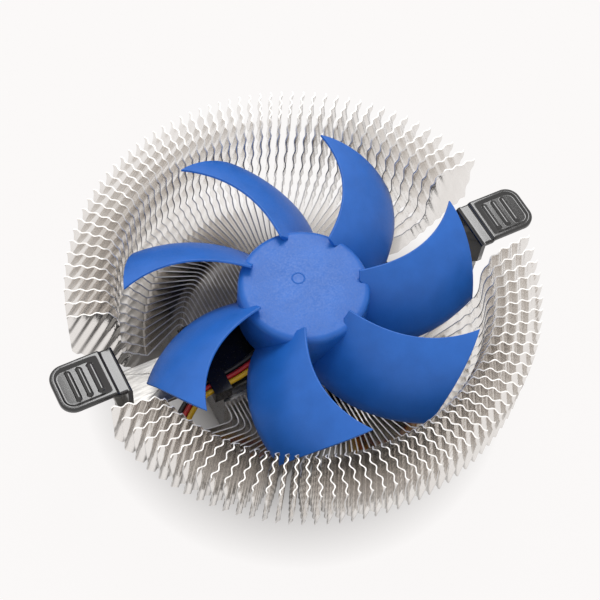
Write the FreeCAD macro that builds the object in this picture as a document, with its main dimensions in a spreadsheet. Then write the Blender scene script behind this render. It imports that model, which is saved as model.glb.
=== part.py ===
import FreeCAD, Part
import math
import os

import Sketcher

# Low-profile processor cooler: a stack of bent aluminium sheets fanned out into
# two rings of corrugated fins, an open seven-blade fan in the bowl between them
# and a sprung clip through the two gaps. Millimetres. The origin is the centre
# of the contact face, X runs along the clip, Y towards the rear fan of fins.

SIZES = {
    # Heatsink core
    "foot_length": 38.0, "foot_width": 34.0, "foot_thickness": 4.5,
    "core_length": 48.6, "core_width": 21.6, "core_height": 15.8, "core_lift": 1.0,
    # Fins
    "fin_count": 50, "fin_sheet": 0.45, "fin_radius": 52.0, "fin_margin": 0.2, "outer_height": 14.5,
    "stack_margin": 0.8, "bend_margin": 4.0, "fan_half_angle": 76.8, "fan_crowding": 8.5,
    "rear_twist": 7.0, "rear_spread": 4.0, "rear_flare": 1.0,
    "front_twist": -10.5, "front_spread": 21.0, "front_flare": 13.0,
    "tip_clearance": 1.9, "shelf_width": 5.5, "shelf_gap": 2.0, "shelf_drop": 3.1,
    "lip_width": 2.7, "lip_round": 2.0, "root_gap": 2.0, "root_height": 6.0,
    "kink_rise": 2.7, "belly_reach": 3.3, "belly_rise": 2.3,
    "wave_pitch": 5.6, "wave_depth": 0.55, "wave_lean": 20.0, "wave_inset": 16.8,
    # Impeller
    "blade_count": 7, "blade_radius": 39.3, "blade_rise": 3.1, "blade_drop": 0.2,
    "blade_thickness": 1.5, "blade_phase": 57.4, "blade_corner": 1.5, "blade_proud": 1.6,
    "blade_camber": 0.09,
    "blade_root_inset": 2.5, "blade_root_lag": 20.2, "blade_lag": 28.5, "blade_sweep": 1.37,
    "hub_radius": 14.7, "hub_height": 11.8, "hub_wall": 1.4, "hub_rim": 1.1, "hub_gap": 0.5,
    "boss_radius": 2.4, "boss_gap": 0.8,
    # Rotor
    "yoke_wall": 0.8, "yoke_gap": 0.05, "yoke_inset": 0.2,
    "magnet_wall": 1.8, "magnet_inset": 0.3, "magnet_gap": 0.9,
    "shaft_radius": 1.0, "shaft_end_gap": 0.1,
    "washer_inset": 0.5, "washer_gap": 0.15, "washer_thickness": 0.4,
    # Fan frame
    "frame_length": 53.0, "frame_width": 19.6, "frame_thickness": 2.2, "strap_gap": 0.2,
    "frame_bevel": 0.9, "motor_disc_radius": 15.2, "rail_width": 3.4, "rail_length": 44.0,
    "bearing_radius": 3.0, "bearing_lift": 0.9, "bearing_height": 9.0, "running_clearance": 0.03,
    "tube_wall": 0.9, "tube_lip": 0.1, "pocket_floor": 1.3, "post_radius": 1.2, "post_circle": 9.0,
    "screw_x": 9.0, "screw_y": 8.1, "screw_radius": 1.0, "screw_head": 1.7,
    "screw_head_height": 0.9, "screw_depth": 8.0, "screw_clearance": 0.1,
    "guide_length": 4.1, "guide_width": 4.4, "guide_height": 1.3, "guide_wall": 0.8, "guide_roof": 0.3,
    "guide_y": -7.6,
    # Stator and board
    "board_radius": 11.0, "board_thickness": 1.0, "board_standoff": 1.0, "board_gap": 0.1,
    "chip_length": 3.0, "chip_width": 1.6, "chip_height": 0.6, "chip_offset": 5.8,
    "air_gap": 0.9, "stator_height": 5.0, "stator_gap": 0.4, "stator_ring": 1.0,
    "arm_width": 3.0, "shoe_depth": 1.4, "shoe_width": 9.0,
    "coil_build": 1.1, "coil_gap": 0.1, "coil_start": 0.3, "coil_end": 0.7,
    # Clip
    "strap_width": 11.0, "strap_thickness": 1.2, "tongue_width": 6.4, "tongue_reach": 1.4,
    "plate_gap": 4.3, "plate_thickness": 1.1, "plate_width": 11.5, "plate_foot": 1.5,
    "tab_height": 28.1, "tab_length": 15.2, "tab_corner": 3.4, "step_reach": 3.0, "step_height": 0.7,
    "bend_round": 1.0, "tray_gap": 1.4, "tray_rim": 0.9, "tray_depth": 0.4,
    "arm_shoulder": 21.5, "hook_width": 8.6, "window_width": 5.4, "window_bottom": 4.0,
    "window_height": 4.6, "rib_width": 1.3, "rib_length": 7.6, "rib_height": 0.5, "rib_pitch": 2.5,
    "rib_start": 6.0, "slot_clearance": 0.1, "notch_radius": 1.2, "notch_inset": 10.6,
    # Fan lead
    "wire_radius": 0.6, "wire_pitch": 1.3, "floor_gap": 0.6,
    "hank_left": -13.8, "hank_y": -27.0, "hank_run": 22.0, "hank_inner": 2.9, "hank_build": 4.0,
    "hank_height": 4.1, "tie_width": 3.0, "tie_thickness": 0.5, "tie_gap": 0.05,
    "plug_length": 11.5, "plug_width": 7.6, "plug_height": 5.6, "plug_gap": 0.2,
    "socket_length": 7.0, "socket_side": 1.1, "socket_height": 2.2,
    "key_length": 6.0, "key_width": 0.8, "key_height": 0.6, "key_inset": 1.2,
}

# Sizes and heights that follow from those above, as sheet formulas.
FOLLOWING = {
    "frame_bottom": "core_height + strap_thickness + strap_gap",
    "frame_top": "frame_bottom + frame_thickness",
    "board_bottom": "frame_top + board_standoff",
    "board_top": "board_bottom + board_thickness",
    "hub_bottom": "board_top + hub_gap",
    "hub_top": "hub_bottom + hub_height",
    "hub_ceiling": "hub_top - hub_wall",
    "blade_bottom": "hub_bottom - blade_drop",
    "blade_top": "hub_top + blade_rise",
    "blade_root_radius": "hub_radius - blade_root_inset",
    "fin_top": "blade_top + fin_margin",
    "outer_bottom": "fin_top - outer_height",
    "wall_radius": "blade_radius + tip_clearance",
    "wall_foot": "blade_bottom - shelf_gap",
    "lip_radius": "wall_radius + lip_width",
    "kink_radius": "wall_radius - shelf_width",
    "kink_top": "wall_foot - shelf_drop",
    "stack_half": "core_length / 2 - stack_margin",
    "bend_radius": "stack_half + bend_margin",
    "root_bottom": "foot_thickness + root_gap",
    "root_top": "root_bottom + root_height",
    "kink_bottom": "root_bottom + kink_rise",
    "belly_radius": "kink_radius + belly_reach",
    "belly_height": "kink_bottom + belly_rise",
    "bearing_bottom": "frame_top + bearing_lift",
    "tube_radius": "bearing_radius + tube_wall",
    "tube_top": "bearing_bottom + bearing_height + tube_lip",
    "boss_bottom": "tube_top + boss_gap",
    "pocket_bottom": "frame_bottom + pocket_floor",
    "shaft_bottom": "pocket_bottom + shaft_end_gap",
    "shaft_top": "hub_top - hub_wall / 2",
    "yoke_radius": "hub_radius - hub_wall - yoke_gap",
    "yoke_bottom": "hub_bottom + yoke_inset",
    "magnet_radius": "yoke_radius - yoke_wall - yoke_gap",
    "magnet_bottom": "yoke_bottom + magnet_inset",
    "magnet_top": "hub_ceiling - yoke_wall - magnet_gap",
    "stator_radius": "magnet_radius - magnet_wall - air_gap",
    "stator_bore": "tube_radius + coil_gap",
    "stator_bottom": "board_top + chip_height + coil_build + coil_gap + stator_gap",
    "stator_top": "stator_bottom + stator_height",
    "plate_x": "blade_radius + plate_gap",
    "tab_end": "plate_x + tab_length",
    "step_x": "plate_x + step_reach",
    "rib_first": "plate_x + rib_start",
    "notch_x": "plate_x - notch_inset",
    "window_top": "window_bottom + window_height",
    "hank_radius": "hank_inner + hank_build",
    "hank_middle": "hank_left + hank_radius + hank_run / 2",
    "hank_right": "hank_left + hank_run + 2 * hank_radius",
    "plug_x": "hank_right + plug_gap",
    "plug_y": "hank_y + hank_inner + hank_build / 2",
}

# Middle wire of the fan lead, from the frame to the hank; its neighbours run beside it.
LEAD_ROUTE = [
    (-11.6, -5.2, 20.5), (-16.6, -6.6, 20.3), (-21.6, -7.5, 20.05), (-28.8, -7.75, 20.05),
    (-32.2, -8.5, 15.6), (-34.4, -9.2, 11.0), (-36.2, -11.4, 6.4), (-36.4, -15.4, 2.8),
    (-33.0, -19.4, 1.5), (-27.0, -21.6, 1.25), (-20.0, -22.1, 1.25), (-13.6, -22.1, 1.25),
]

doc = FreeCAD.newDocument("SpiralCooler")
sheet = doc.addObject("Spreadsheet::Sheet", "Sizes")
contents = {alias: str(number) for alias, number in SIZES.items()}
contents.update({alias: "=" + formula for alias, formula in FOLLOWING.items()})
for row, (alias, content) in enumerate(contents.items(), start=1):
    sheet.set(f"A{row}", alias)
    sheet.set(f"B{row}", content)
    sheet.setAlias(f"B{row}", alias)
doc.recompute()


class Dim:
    """A size with its number and the spreadsheet expression that drives it."""

    def __init__(self, value, text):
        self.value = float(value)
        self.text = text

    def join(self, other, sign, value):
        return Dim(value, f"({self.text} {sign} {as_dim(other).text})")

    def __add__(self, other):
        return self.join(other, "+", self.value + as_dim(other).value)

    def __sub__(self, other):
        return self.join(other, "-", self.value - as_dim(other).value)

    def __mul__(self, other):
        return self.join(other, "*", self.value * as_dim(other).value)

    def __truediv__(self, other):
        return self.join(other, "/", self.value / as_dim(other).value)

    def __neg__(self):
        return Dim(-self.value, f"(0 - {self.text})")


def as_dim(number):
    return number if isinstance(number, Dim) else Dim(number, repr(float(number)))


def size(alias):
    return Dim(sheet.get(alias), f"Sizes.{alias}")


def num(alias):
    return float(sheet.get(alias))


def bind(obj, prop, dim):
    obj.setExpression(prop, as_dim(dim).text)


def place(obj, at):
    for axis, dim in zip("xyz", at):
        bind(obj, f"Placement.Base.{axis}", dim)
    return obj


def box(name, sides, at):
    obj = doc.addObject("Part::Box", name)
    for prop, dim in zip(("Length", "Width", "Height"), sides):
        bind(obj, prop, dim)
    return place(obj, at)


def centred_box(name, length, width, bottom, top, x=0.0, y=0.0):
    corner = (as_dim(x) - length / 2, as_dim(y) - width / 2, bottom)
    return box(name, (length, width, as_dim(top) - bottom), corner)


def cylinder(name, radius, bottom, top, x=0.0, y=0.0):
    obj = doc.addObject("Part::Cylinder", name)
    bind(obj, "Radius", radius)
    bind(obj, "Height", as_dim(top) - bottom)
    return place(obj, (as_dim(x), as_dim(y), as_dim(bottom)))


def cut(name, base, *tools):
    whole = tools[0] if len(tools) == 1 else fuse(name + "_tools", *tools)
    obj = doc.addObject("Part::Cut", name)
    obj.Base = base
    obj.Tool = whole
    return obj


def fuse(name, *shapes):
    obj = doc.addObject("Part::MultiFuse", name)
    obj.Shapes = list(shapes)
    obj.Refine = True
    return obj


def group(name, *shapes):
    obj = doc.addObject("Part::Compound", name)
    obj.Links = list(shapes)
    return obj


def ring(name, outer, inner, bottom, top, x=0.0, y=0.0):
    body = cylinder(name + "_outer", outer, bottom, top, x, y)
    bore = cylinder(name + "_bore", inner, as_dim(bottom) - 1, as_dim(top) + 1, x, y)
    return cut(name, body, bore)


def plane_of(body, role):
    return next(f for f in body.Origin.OriginFeatures if f.Role == role)


def outline_sketch(body, name, role, points):
    """Closed polygon whose corners are tied to the sheet by their coordinates."""
    sketch = body.newObject("Sketcher::SketchObject", name)
    sketch.AttachmentSupport = (plane_of(body, role), [""])
    sketch.MapMode = "FlatFace"
    corners = [FreeCAD.Vector(x.value, y.value, 0) for x, y in points]
    total = len(corners)
    for i, corner in enumerate(corners):
        sketch.addGeometry(Part.LineSegment(corner, corners[(i + 1) % total]), False)
    for i in range(total):
        sketch.addConstraint(Sketcher.Constraint("Coincident", i, 2, (i + 1) % total, 1))
    for i, (x, y) in enumerate(points):
        for kind, dim in (("DistanceX", x), ("DistanceY", y)):
            label = f"{kind}{i}"
            at = sketch.addConstraint(Sketcher.Constraint(kind, -1, 1, i, 1, dim.value))
            sketch.renameConstraint(at, label)
            sketch.setExpression(f"Constraints.{label}", dim.text)
    return sketch


def pad(body, sketch, length, middle=False):
    feature = body.newObject("PartDesign::Pad", sketch.Name + "_pad")
    feature.Profile = sketch
    bind(feature, "Length", length)
    feature.Midplane = middle
    return feature


def pocket(body, sketch, middle=True):
    feature = body.newObject("PartDesign::Pocket", sketch.Name + "_pocket")
    feature.Profile = sketch
    feature.Type = "ThroughAll"
    feature.Midplane = middle
    return feature


def rectangle(x0, x1, y0, y1):
    return [(x0, y0), (x1, y0), (x1, y1), (x0, y1)]


# Heatsink core: contact foot, block that carries the fins, screw holes for the frame.

def screw_places():
    for sx in (-1, 1):
        for sy in (-1, 1):
            yield size("screw_x") * sx, size("screw_y") * sy


def heatsink_core():
    foot = centred_box("core_foot", size("foot_length"), size("foot_width"),
                       as_dim(0), size("foot_thickness"))
    block = centred_box("core_block", size("core_length"), size("core_width"),
                        size("core_lift"), size("core_height"))
    solid = fuse("core_solid", foot, block)
    floor = size("core_height") - size("screw_depth")
    holes = [cylinder(f"core_hole_{i}", size("screw_radius"), floor, size("core_height") + 1, x, y)
             for i, (x, y) in enumerate(screw_places())]
    return cut("heatsink_core", solid, *holes)


# Fins: each is one sheet, bent twice and pressed into slanted corrugations.

def polyhedron(faces):
    skin = [Part.Face(Part.makePolygon(face + face[:1])) for face in faces]
    shell = Part.Shell(skin)
    shell.sewShape()
    return Part.Solid(shell)


def sheet_block(start, end, low, high):
    """Flat stretch of sheet between two vertical edges, each a pair of plan points."""
    (a, b), (c, d) = start, end
    bottom = [FreeCAD.Vector(p.x, p.y, z) for p, z in ((a, low[0]), (b, low[0]), (d, low[1]), (c, low[1]))]
    top = [FreeCAD.Vector(p.x, p.y, z) for p, z in ((a, high[0]), (b, high[0]), (d, high[1]), (c, high[1]))]
    faces = [[bottom[i], bottom[(i + 1) % 4], top[(i + 1) % 4], top[i]] for i in range(4)]
    for quad in (bottom, top):
        faces.append([quad[0], quad[1], quad[2]])
        faces.append([quad[0], quad[2], quad[3]])
    return polyhedron(faces)


def left_of(direction):
    return FreeCAD.Vector(-direction.y, direction.x, 0)


def polar(radius, angle):
    return FreeCAD.Vector(radius * math.sin(angle), radius * math.cos(angle), 0)


def fin_plan(fan, share):
    """Plan points of one fin: root at the core, bend and kink, with the heading of its outer stretch."""
    x = num("stack_half") * share
    crowding = num("fan_crowding")
    angle = (num("fan_half_angle") - crowding) * share + crowding * share ** 3
    swing = num(fan + "_twist") + num(fan + "_spread") * share + num(fan + "_flare") * share ** 2
    root = FreeCAD.Vector(x, num("core_width") / 2, 0)
    bend = FreeCAD.Vector(x, math.sqrt(num("bend_radius") ** 2 - x ** 2), 0)
    outer = polar(num("fin_radius"), math.radians(angle))
    heading = polar(1, math.radians(angle + swing))
    reach = outer.dot(heading)
    inner_reach = math.sqrt(reach ** 2 - num("fin_radius") ** 2 + num("kink_radius") ** 2)
    kink = outer - heading * (reach - inner_reach)
    return root, bend, kink, heading


def along(kink, heading, radius):
    """Distance from the kink to where the straight outer stretch crosses a radius."""
    reach = kink.dot(heading)
    return math.sqrt(reach ** 2 - kink.dot(kink) + radius ** 2) - reach


def fin_outline(kink, heading):
    """Side view of the outer stretch: distance from the kink and height."""
    lip = num("lip_round")
    wall = num("wall_radius")
    top = num("fin_top")
    corners = [
        (num("belly_radius"), num("belly_height")),
        (num("fin_radius"), num("outer_bottom")), (num("fin_radius"), top),
        (num("lip_radius"), top), (wall + lip / 2, top - lip * 0.75), (wall, top - lip * 2.25),
        (wall, num("wall_foot")),
    ]
    points = [(0.0, num("kink_bottom"))]
    points += [(along(kink, heading, radius), z) for radius, z in corners]
    points.append((0.0, num("kink_top")))
    return points


def corrugated_stretch(kink, heading):
    side = left_of(heading)
    up = FreeCAD.Vector(0, 0, 1)
    top = num("fin_top")
    lean = math.tan(math.radians(num("wave_lean")))
    half_pitch = num("wave_pitch") / 2
    reach = along(kink, heading, num("fin_radius"))
    start = reach - num("wave_inset")
    line = [(start - top * lean, 0.0), (start, 0.0)]
    crest = start + half_pitch / 2
    depth = num("wave_depth")
    while crest < reach + half_pitch:
        line.append((crest, depth))
        crest += half_pitch
        depth = -depth
    half = num("fin_sheet") / 2
    loop = [(s, a + half) for s, a in line] + [(s, a - half) for s, a in reversed(line)]
    points = [kink + heading * s + side * a + up * top for s, a in loop]
    wave = Part.Face(Part.makePolygon(points + points[:1]))
    wave = wave.extrude((heading * lean - up) * top)
    breadth = num("wave_depth") + num("fin_sheet")
    corners = [kink + heading * s + up * z - side * breadth for s, z in fin_outline(kink, heading)]
    blank = Part.Face(Part.makePolygon(corners + corners[:1])).extrude(side * (2 * breadth))
    return wave.common(blank)


def fin_solid(fan, share):
    root, bend, kink, heading = fin_plan(fan, share)
    half = num("fin_sheet") / 2
    first = FreeCAD.Vector(0, 1, 0)
    second = (kink - bend).normalize()
    mitre = (left_of(first) + left_of(second)).normalize()
    mitre = mitre * (half / mitre.dot(left_of(first)))
    root_edge = (root + left_of(first) * half, root - left_of(first) * half)
    bend_edge = (bend + mitre, bend - mitre)
    kink_edge = (kink + left_of(heading) * half, kink - left_of(heading) * half)
    low, high = num("root_bottom"), num("root_top")
    stem = sheet_block(root_edge, bend_edge, (low, low), (high, high))
    middle = sheet_block(bend_edge, kink_edge, (low, num("kink_bottom")), (high, num("kink_top")))
    solid = stem.fuse([middle, corrugated_stretch(kink, heading)]).removeSplitter()
    return solid.Solids[0]


def fin_fan(fan, turn):
    count = int(num("fin_count"))
    fins = [fin_solid(fan, 2 * i / (count - 1) - 1) for i in range(count)]
    obj = doc.addObject("Part::Feature", fan + "_fins")
    obj.Shape = Part.makeCompound(fins)
    obj.Placement = FreeCAD.Placement(FreeCAD.Vector(), FreeCAD.Rotation(FreeCAD.Vector(0, 0, 1), turn))
    return obj


# Impeller: revolved hub with lofted blades, trimmed by the surface that they sweep.

def revolved(name, profile):
    """Solid of revolution about Z from a polygon of radius and height pairs."""
    body = doc.addObject("PartDesign::Body", name)
    sketch = outline_sketch(body, name + "_profile", "XZ_Plane", profile)
    feature = body.newObject("PartDesign::Revolution", name + "_turn")
    feature.Profile = sketch
    feature.ReferenceAxis = (sketch, ["V_Axis"])
    feature.Angle = 360
    return body


def impeller_hub():
    outer = size("hub_radius")
    top = size("hub_top")
    rim = size("hub_rim")
    ceiling = size("hub_ceiling")
    inner = outer - size("hub_wall")
    boss_end = size("boss_bottom")
    profile = [
        (size("shaft_radius"), size("shaft_top")), (size("shaft_radius"), boss_end),
        (size("boss_radius"), boss_end), (size("boss_radius"), ceiling), (inner, ceiling),
        (inner, size("hub_bottom")), (outer, size("hub_bottom")), (outer, top - rim),
        (outer - rim * 0.3, top - rim * 0.3), (outer - rim, top), (as_dim(0), top),
        (as_dim(0), size("shaft_top")),
    ]
    return revolved("impeller_hub", profile)


def blade_angles(radius):
    """Angles behind the blade's upper tip of its upper and lower edges, in degrees."""
    inner = num("blade_root_radius")
    tip = num("blade_radius")
    reach = max(radius - inner, 0.0) / (tip - inner)
    upper = -num("blade_root_lag") * (1 - reach ** 1.8)
    lower = -num("blade_lag") - num("blade_sweep") * (tip - radius)
    return upper, lower


def blade_section(radius):
    upper, lower = blade_angles(radius)
    middle = math.radians((upper + lower) / 2)
    half_span = math.radians((upper - lower) / 2)
    out = FreeCAD.Vector(math.cos(middle), math.sin(middle), 0)
    tangent = left_of(out)
    inner = num("blade_root_radius")
    share = (radius - inner) / (num("blade_radius") - inner)
    crest = num("hub_top") + num("blade_proud")
    top = crest + (num("blade_top") - crest) * share
    low = num("blade_bottom")
    stations = (0.0, 0.3, 0.7, 1.0)
    mean = []
    for along_chord in stations:
        swing = half_span * (1 - 2 * along_chord)
        height = top + (low - top) * along_chord
        mean.append(out * radius + tangent * (radius * math.tan(swing)) + FreeCAD.Vector(0, 0, height))
    chord = mean[-1] - mean[0]
    camber = chord.Length * num("blade_camber") * share * 4
    normal = chord.normalize().cross(out)
    mean = [p + normal * (camber * c * (1 - c)) for p, c in zip(mean, stations)]
    half = num("blade_thickness") / 2
    edge = half * 0.5
    swell = (edge, half, half, edge)
    upper_side = [p + normal * w for p, w in zip(mean, swell)]
    lower_side = [p - normal * w for p, w in zip(mean, swell)]
    curves = []
    for side in (upper_side, lower_side[::-1]):
        curve = Part.BSplineCurve()
        curve.interpolate(side)
        curves.append(curve.toShape())
    ends = [Part.LineSegment(upper_side[-1], lower_side[-1]).toShape(),
            Part.LineSegment(lower_side[0], upper_side[0]).toShape()]
    return Part.Wire([curves[0], ends[0], curves[1], ends[1]])


def swept_envelope():
    """Solid that the turning blades fill, with the rounded lower corner."""
    tip = num("blade_radius")
    low = num("blade_bottom") - 0.5
    corner = num("blade_corner")
    top = num("blade_top") + 2
    mid = math.sqrt(0.5)
    start = FreeCAD.Vector(tip - corner, 0, low)
    bulge = FreeCAD.Vector(tip - corner * (1 - mid), 0, low + corner * (1 - mid))
    end = FreeCAD.Vector(tip, 0, low + corner)
    edges = [
        Part.LineSegment(FreeCAD.Vector(0, 0, low), start).toShape(),
        Part.Arc(start, bulge, end).toShape(),
        Part.LineSegment(end, FreeCAD.Vector(tip, 0, top)).toShape(),
        Part.LineSegment(FreeCAD.Vector(tip, 0, top), FreeCAD.Vector(0, 0, top)).toShape(),
        Part.LineSegment(FreeCAD.Vector(0, 0, top), FreeCAD.Vector(0, 0, low)).toShape(),
    ]
    face = Part.Face(Part.Wire(edges))
    return face.revolve(FreeCAD.Vector(), FreeCAD.Vector(0, 0, 1), 360)


def impeller_blades():
    inner = num("blade_root_radius")
    tip = num("blade_radius")
    radii = [inner + (tip + 1.5 - inner) * share for share in (0.0, 0.22, 0.5, 0.78, 1.0)]
    loft = Part.makeLoft([blade_section(r) for r in radii], True, False)
    blade = loft.common(swept_envelope())
    bore = Part.makeCylinder(num("hub_radius") - num("hub_wall") / 2,
                             num("hub_top") - num("hub_wall") / 2)
    blade = blade.cut(bore)
    count = int(num("blade_count"))
    axis = FreeCAD.Vector(0, 0, 1)
    blades = []
    for i in range(count):
        copy = blade.copy()
        copy.rotate(FreeCAD.Vector(), axis, num("blade_phase") - 360.0 * i / count)
        blades.append(copy)
    obj = doc.addObject("Part::Feature", "impeller_blades")
    obj.Shape = Part.makeCompound(blades)
    return obj


def impeller():
    return fuse("impeller", impeller_hub(), impeller_blades())


# Rotor and stator inside the hub.

def rotor_yoke():
    top = size("hub_ceiling")
    bottom = size("yoke_bottom")
    radius = size("yoke_radius")
    shell = cylinder("yoke_shell", radius, bottom, top)
    hollow = cylinder("yoke_hollow", radius - size("yoke_wall"), bottom - 1, top - size("yoke_wall"))
    eye = cylinder("yoke_eye", size("boss_radius") + size("yoke_gap"), bottom, top + 1)
    return cut("rotor_yoke", shell, hollow, eye)


def magnet_ring():
    outer = size("magnet_radius")
    inner = outer - size("magnet_wall")
    return ring("magnet_ring", outer, inner, size("magnet_bottom"), size("magnet_top"))


def shaft():
    return cylinder("shaft", size("shaft_radius"), size("shaft_bottom"), size("shaft_top"))


def bearing_sleeve():
    bottom = size("bearing_bottom")
    bore = size("shaft_radius") + size("running_clearance")
    return ring("bearing_sleeve", size("bearing_radius"), bore, bottom, bottom + size("bearing_height"))


def retaining_washer():
    top = size("bearing_bottom") - size("washer_gap")
    outer = size("bearing_radius") - size("washer_inset")
    return ring("retaining_washer", outer, size("shaft_radius"), top - size("washer_thickness"), top)


def stator_core():
    outer = size("stator_radius")
    low, high = size("stator_bottom"), size("stator_top")
    bore = size("stator_bore")
    collar = cylinder("stator_collar", bore + size("stator_ring"), low, high)
    reach = outer * 2 - size("shoe_depth")
    arms = [centred_box("stator_arm_x", reach, size("arm_width"), low, high),
            centred_box("stator_arm_y", size("arm_width"), reach, low, high)]
    rim = ring("stator_rim", outer, outer - size("shoe_depth"), low, high)
    slot = size("shoe_width")
    shoes = fuse("stator_shoe_bars", centred_box("stator_bar_x", outer * 2 + 2, slot, low, high),
                 centred_box("stator_bar_y", slot, outer * 2 + 2, low, high))
    shoe_ring = doc.addObject("Part::Common", "stator_shoes")
    shoe_ring.Base = rim
    shoe_ring.Tool = shoes
    whole = fuse("stator_whole", collar, shoe_ring, *arms)
    eye = cylinder("stator_eye", bore, low - 1, high + 1)
    return cut("stator_core", whole, eye)


def windings():
    low, high = size("stator_bottom"), size("stator_top")
    gap = size("coil_gap")
    build = size("coil_build")
    inner_end = size("stator_bore") + size("stator_ring") + size("coil_start")
    outer_end = size("stator_radius") - size("shoe_depth") - size("coil_end")
    length = outer_end - inner_end
    middle = (outer_end + inner_end) / 2
    coils = []
    for i, (ux, uy) in enumerate(((1, 0), (0, 1), (-1, 0), (0, -1))):
        across = size("arm_width") + gap * 2
        wide = across + build * 2
        spans = ((length, wide), (length + 2, across)) if ux else ((wide, length), (across, length + 2))
        at = (middle * ux, middle * uy)
        body = centred_box(f"coil_body_{i}", *spans[0], low - gap - build, high + gap + build, *at)
        eye = centred_box(f"coil_eye_{i}", *spans[1], low - gap, high + gap, *at)
        coils.append(cut(f"coil_{i}", body, eye))
    return group("windings", *coils)


def circuit_board():
    inner = size("tube_radius") + size("board_gap")
    return ring("circuit_board", size("board_radius"), inner, size("board_bottom"), size("board_top"))


def board_parts():
    low = size("board_top")
    high = low + size("chip_height")
    length, width, offset = size("chip_length"), size("chip_width"), size("chip_offset")
    sensor = centred_box("hall_sensor", length, width, low, high, offset, offset)
    driver = centred_box("driver_chip", width, length, low, high, -offset, offset)
    return group("board_parts", sensor, driver)


# Fan frame: bar across the channel with a motor disc, a bearing tube and a guide for the lead.

def fan_frame():
    low, high = size("frame_bottom"), size("frame_top")
    bevel = size("frame_bevel")
    bar = doc.addObject("Part::Wedge", "frame_bar")
    half_x, half_y = size("frame_length") / 2, size("frame_width") / 2
    for prop, dim in {"Xmin": -half_x, "Xmax": half_x, "Zmin": -half_y, "Zmax": half_y, "Ymin": low,
                      "Ymax": high, "X2min": bevel - half_x, "X2max": half_x - bevel,
                      "Z2min": bevel - half_y, "Z2max": half_y - bevel}.items():
        bind(bar, prop, dim)
    bar.Placement.Rotation = FreeCAD.Rotation(FreeCAD.Vector(1, 0, 0), 90)
    disc = cylinder("frame_disc", size("motor_disc_radius"), low, high)
    tube = cylinder("frame_tube", size("tube_radius"), high - 0.5, size("tube_top"))
    rail_y = half_y - size("rail_width") / 2
    rails = [centred_box(f"frame_rail_{i}", size("rail_length"), size("rail_width"),
                         size("core_height"), high - 0.5, 0.0, rail_y * side)
             for i, side in enumerate((-1, 1))]
    circle = size("post_circle")
    post_places = [(circle * math.cos(turn), circle * math.sin(turn))
                   for turn in (0.0, math.radians(120), math.radians(240))]
    posts = [cylinder(f"frame_post_{i}", size("post_radius"), high - 0.5, size("board_bottom"), x, y)
             for i, (x, y) in enumerate(post_places)]
    ceiling = high + size("guide_height")
    guide_width = size("guide_width")
    guide_at = (size("guide_length") / 2 - half_x, size("guide_y"))
    guide = centred_box("frame_guide", size("guide_length"), guide_width + size("guide_wall") * 2,
                        low, ceiling + size("guide_roof"), *guide_at)
    tunnel = centred_box("frame_tunnel", size("guide_length") + 2, guide_width, high, ceiling, *guide_at)
    whole = fuse("frame_whole", bar, disc, tube, guide, *rails, *posts)
    pocket_hole = cylinder("frame_pocket", size("bearing_radius"), size("pocket_bottom"),
                           size("tube_top") + 1)
    hole = size("screw_radius") + size("screw_clearance")
    holes = [cylinder(f"frame_hole_{i}", hole, size("core_height") - 1, high + 1, x, y)
             for i, (x, y) in enumerate(screw_places())]
    return cut("fan_frame", whole, pocket_hole, tunnel, *holes)


def frame_screws():
    top = size("frame_top")
    screws = []
    for i, (x, y) in enumerate(screw_places()):
        shank_end = size("core_height") - size("screw_depth") + 1
        shank = cylinder(f"screw_shank_{i}", size("screw_radius"), shank_end, top + 0.3, x, y)
        head = cylinder(f"screw_head_{i}", size("screw_head"), top, top + size("screw_head_height"), x, y)
        screws.append(fuse(f"screw_{i}", shank, head))
    return group("frame_screws", *screws)


# Clip: a flat strap over the core with a folded hook plate hung on each end.

def clip_strap():
    low = size("core_height")
    high = low + size("strap_thickness")
    bar = centred_box("strap_bar", size("plate_x") * 2, size("strap_width"), low, high)
    reach = size("plate_x") + size("plate_thickness") + size("tongue_reach")
    tongue = centred_box("strap_tongue", reach * 2, size("tongue_width"), low, high)
    notches = [cylinder(f"strap_notch_{i}", size("notch_radius"), low - 1, high + 1, size("notch_x") * side)
               for i, side in enumerate((-1, 1))]
    return cut("clip_strap", fuse("strap_whole", bar, tongue), *notches)


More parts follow.
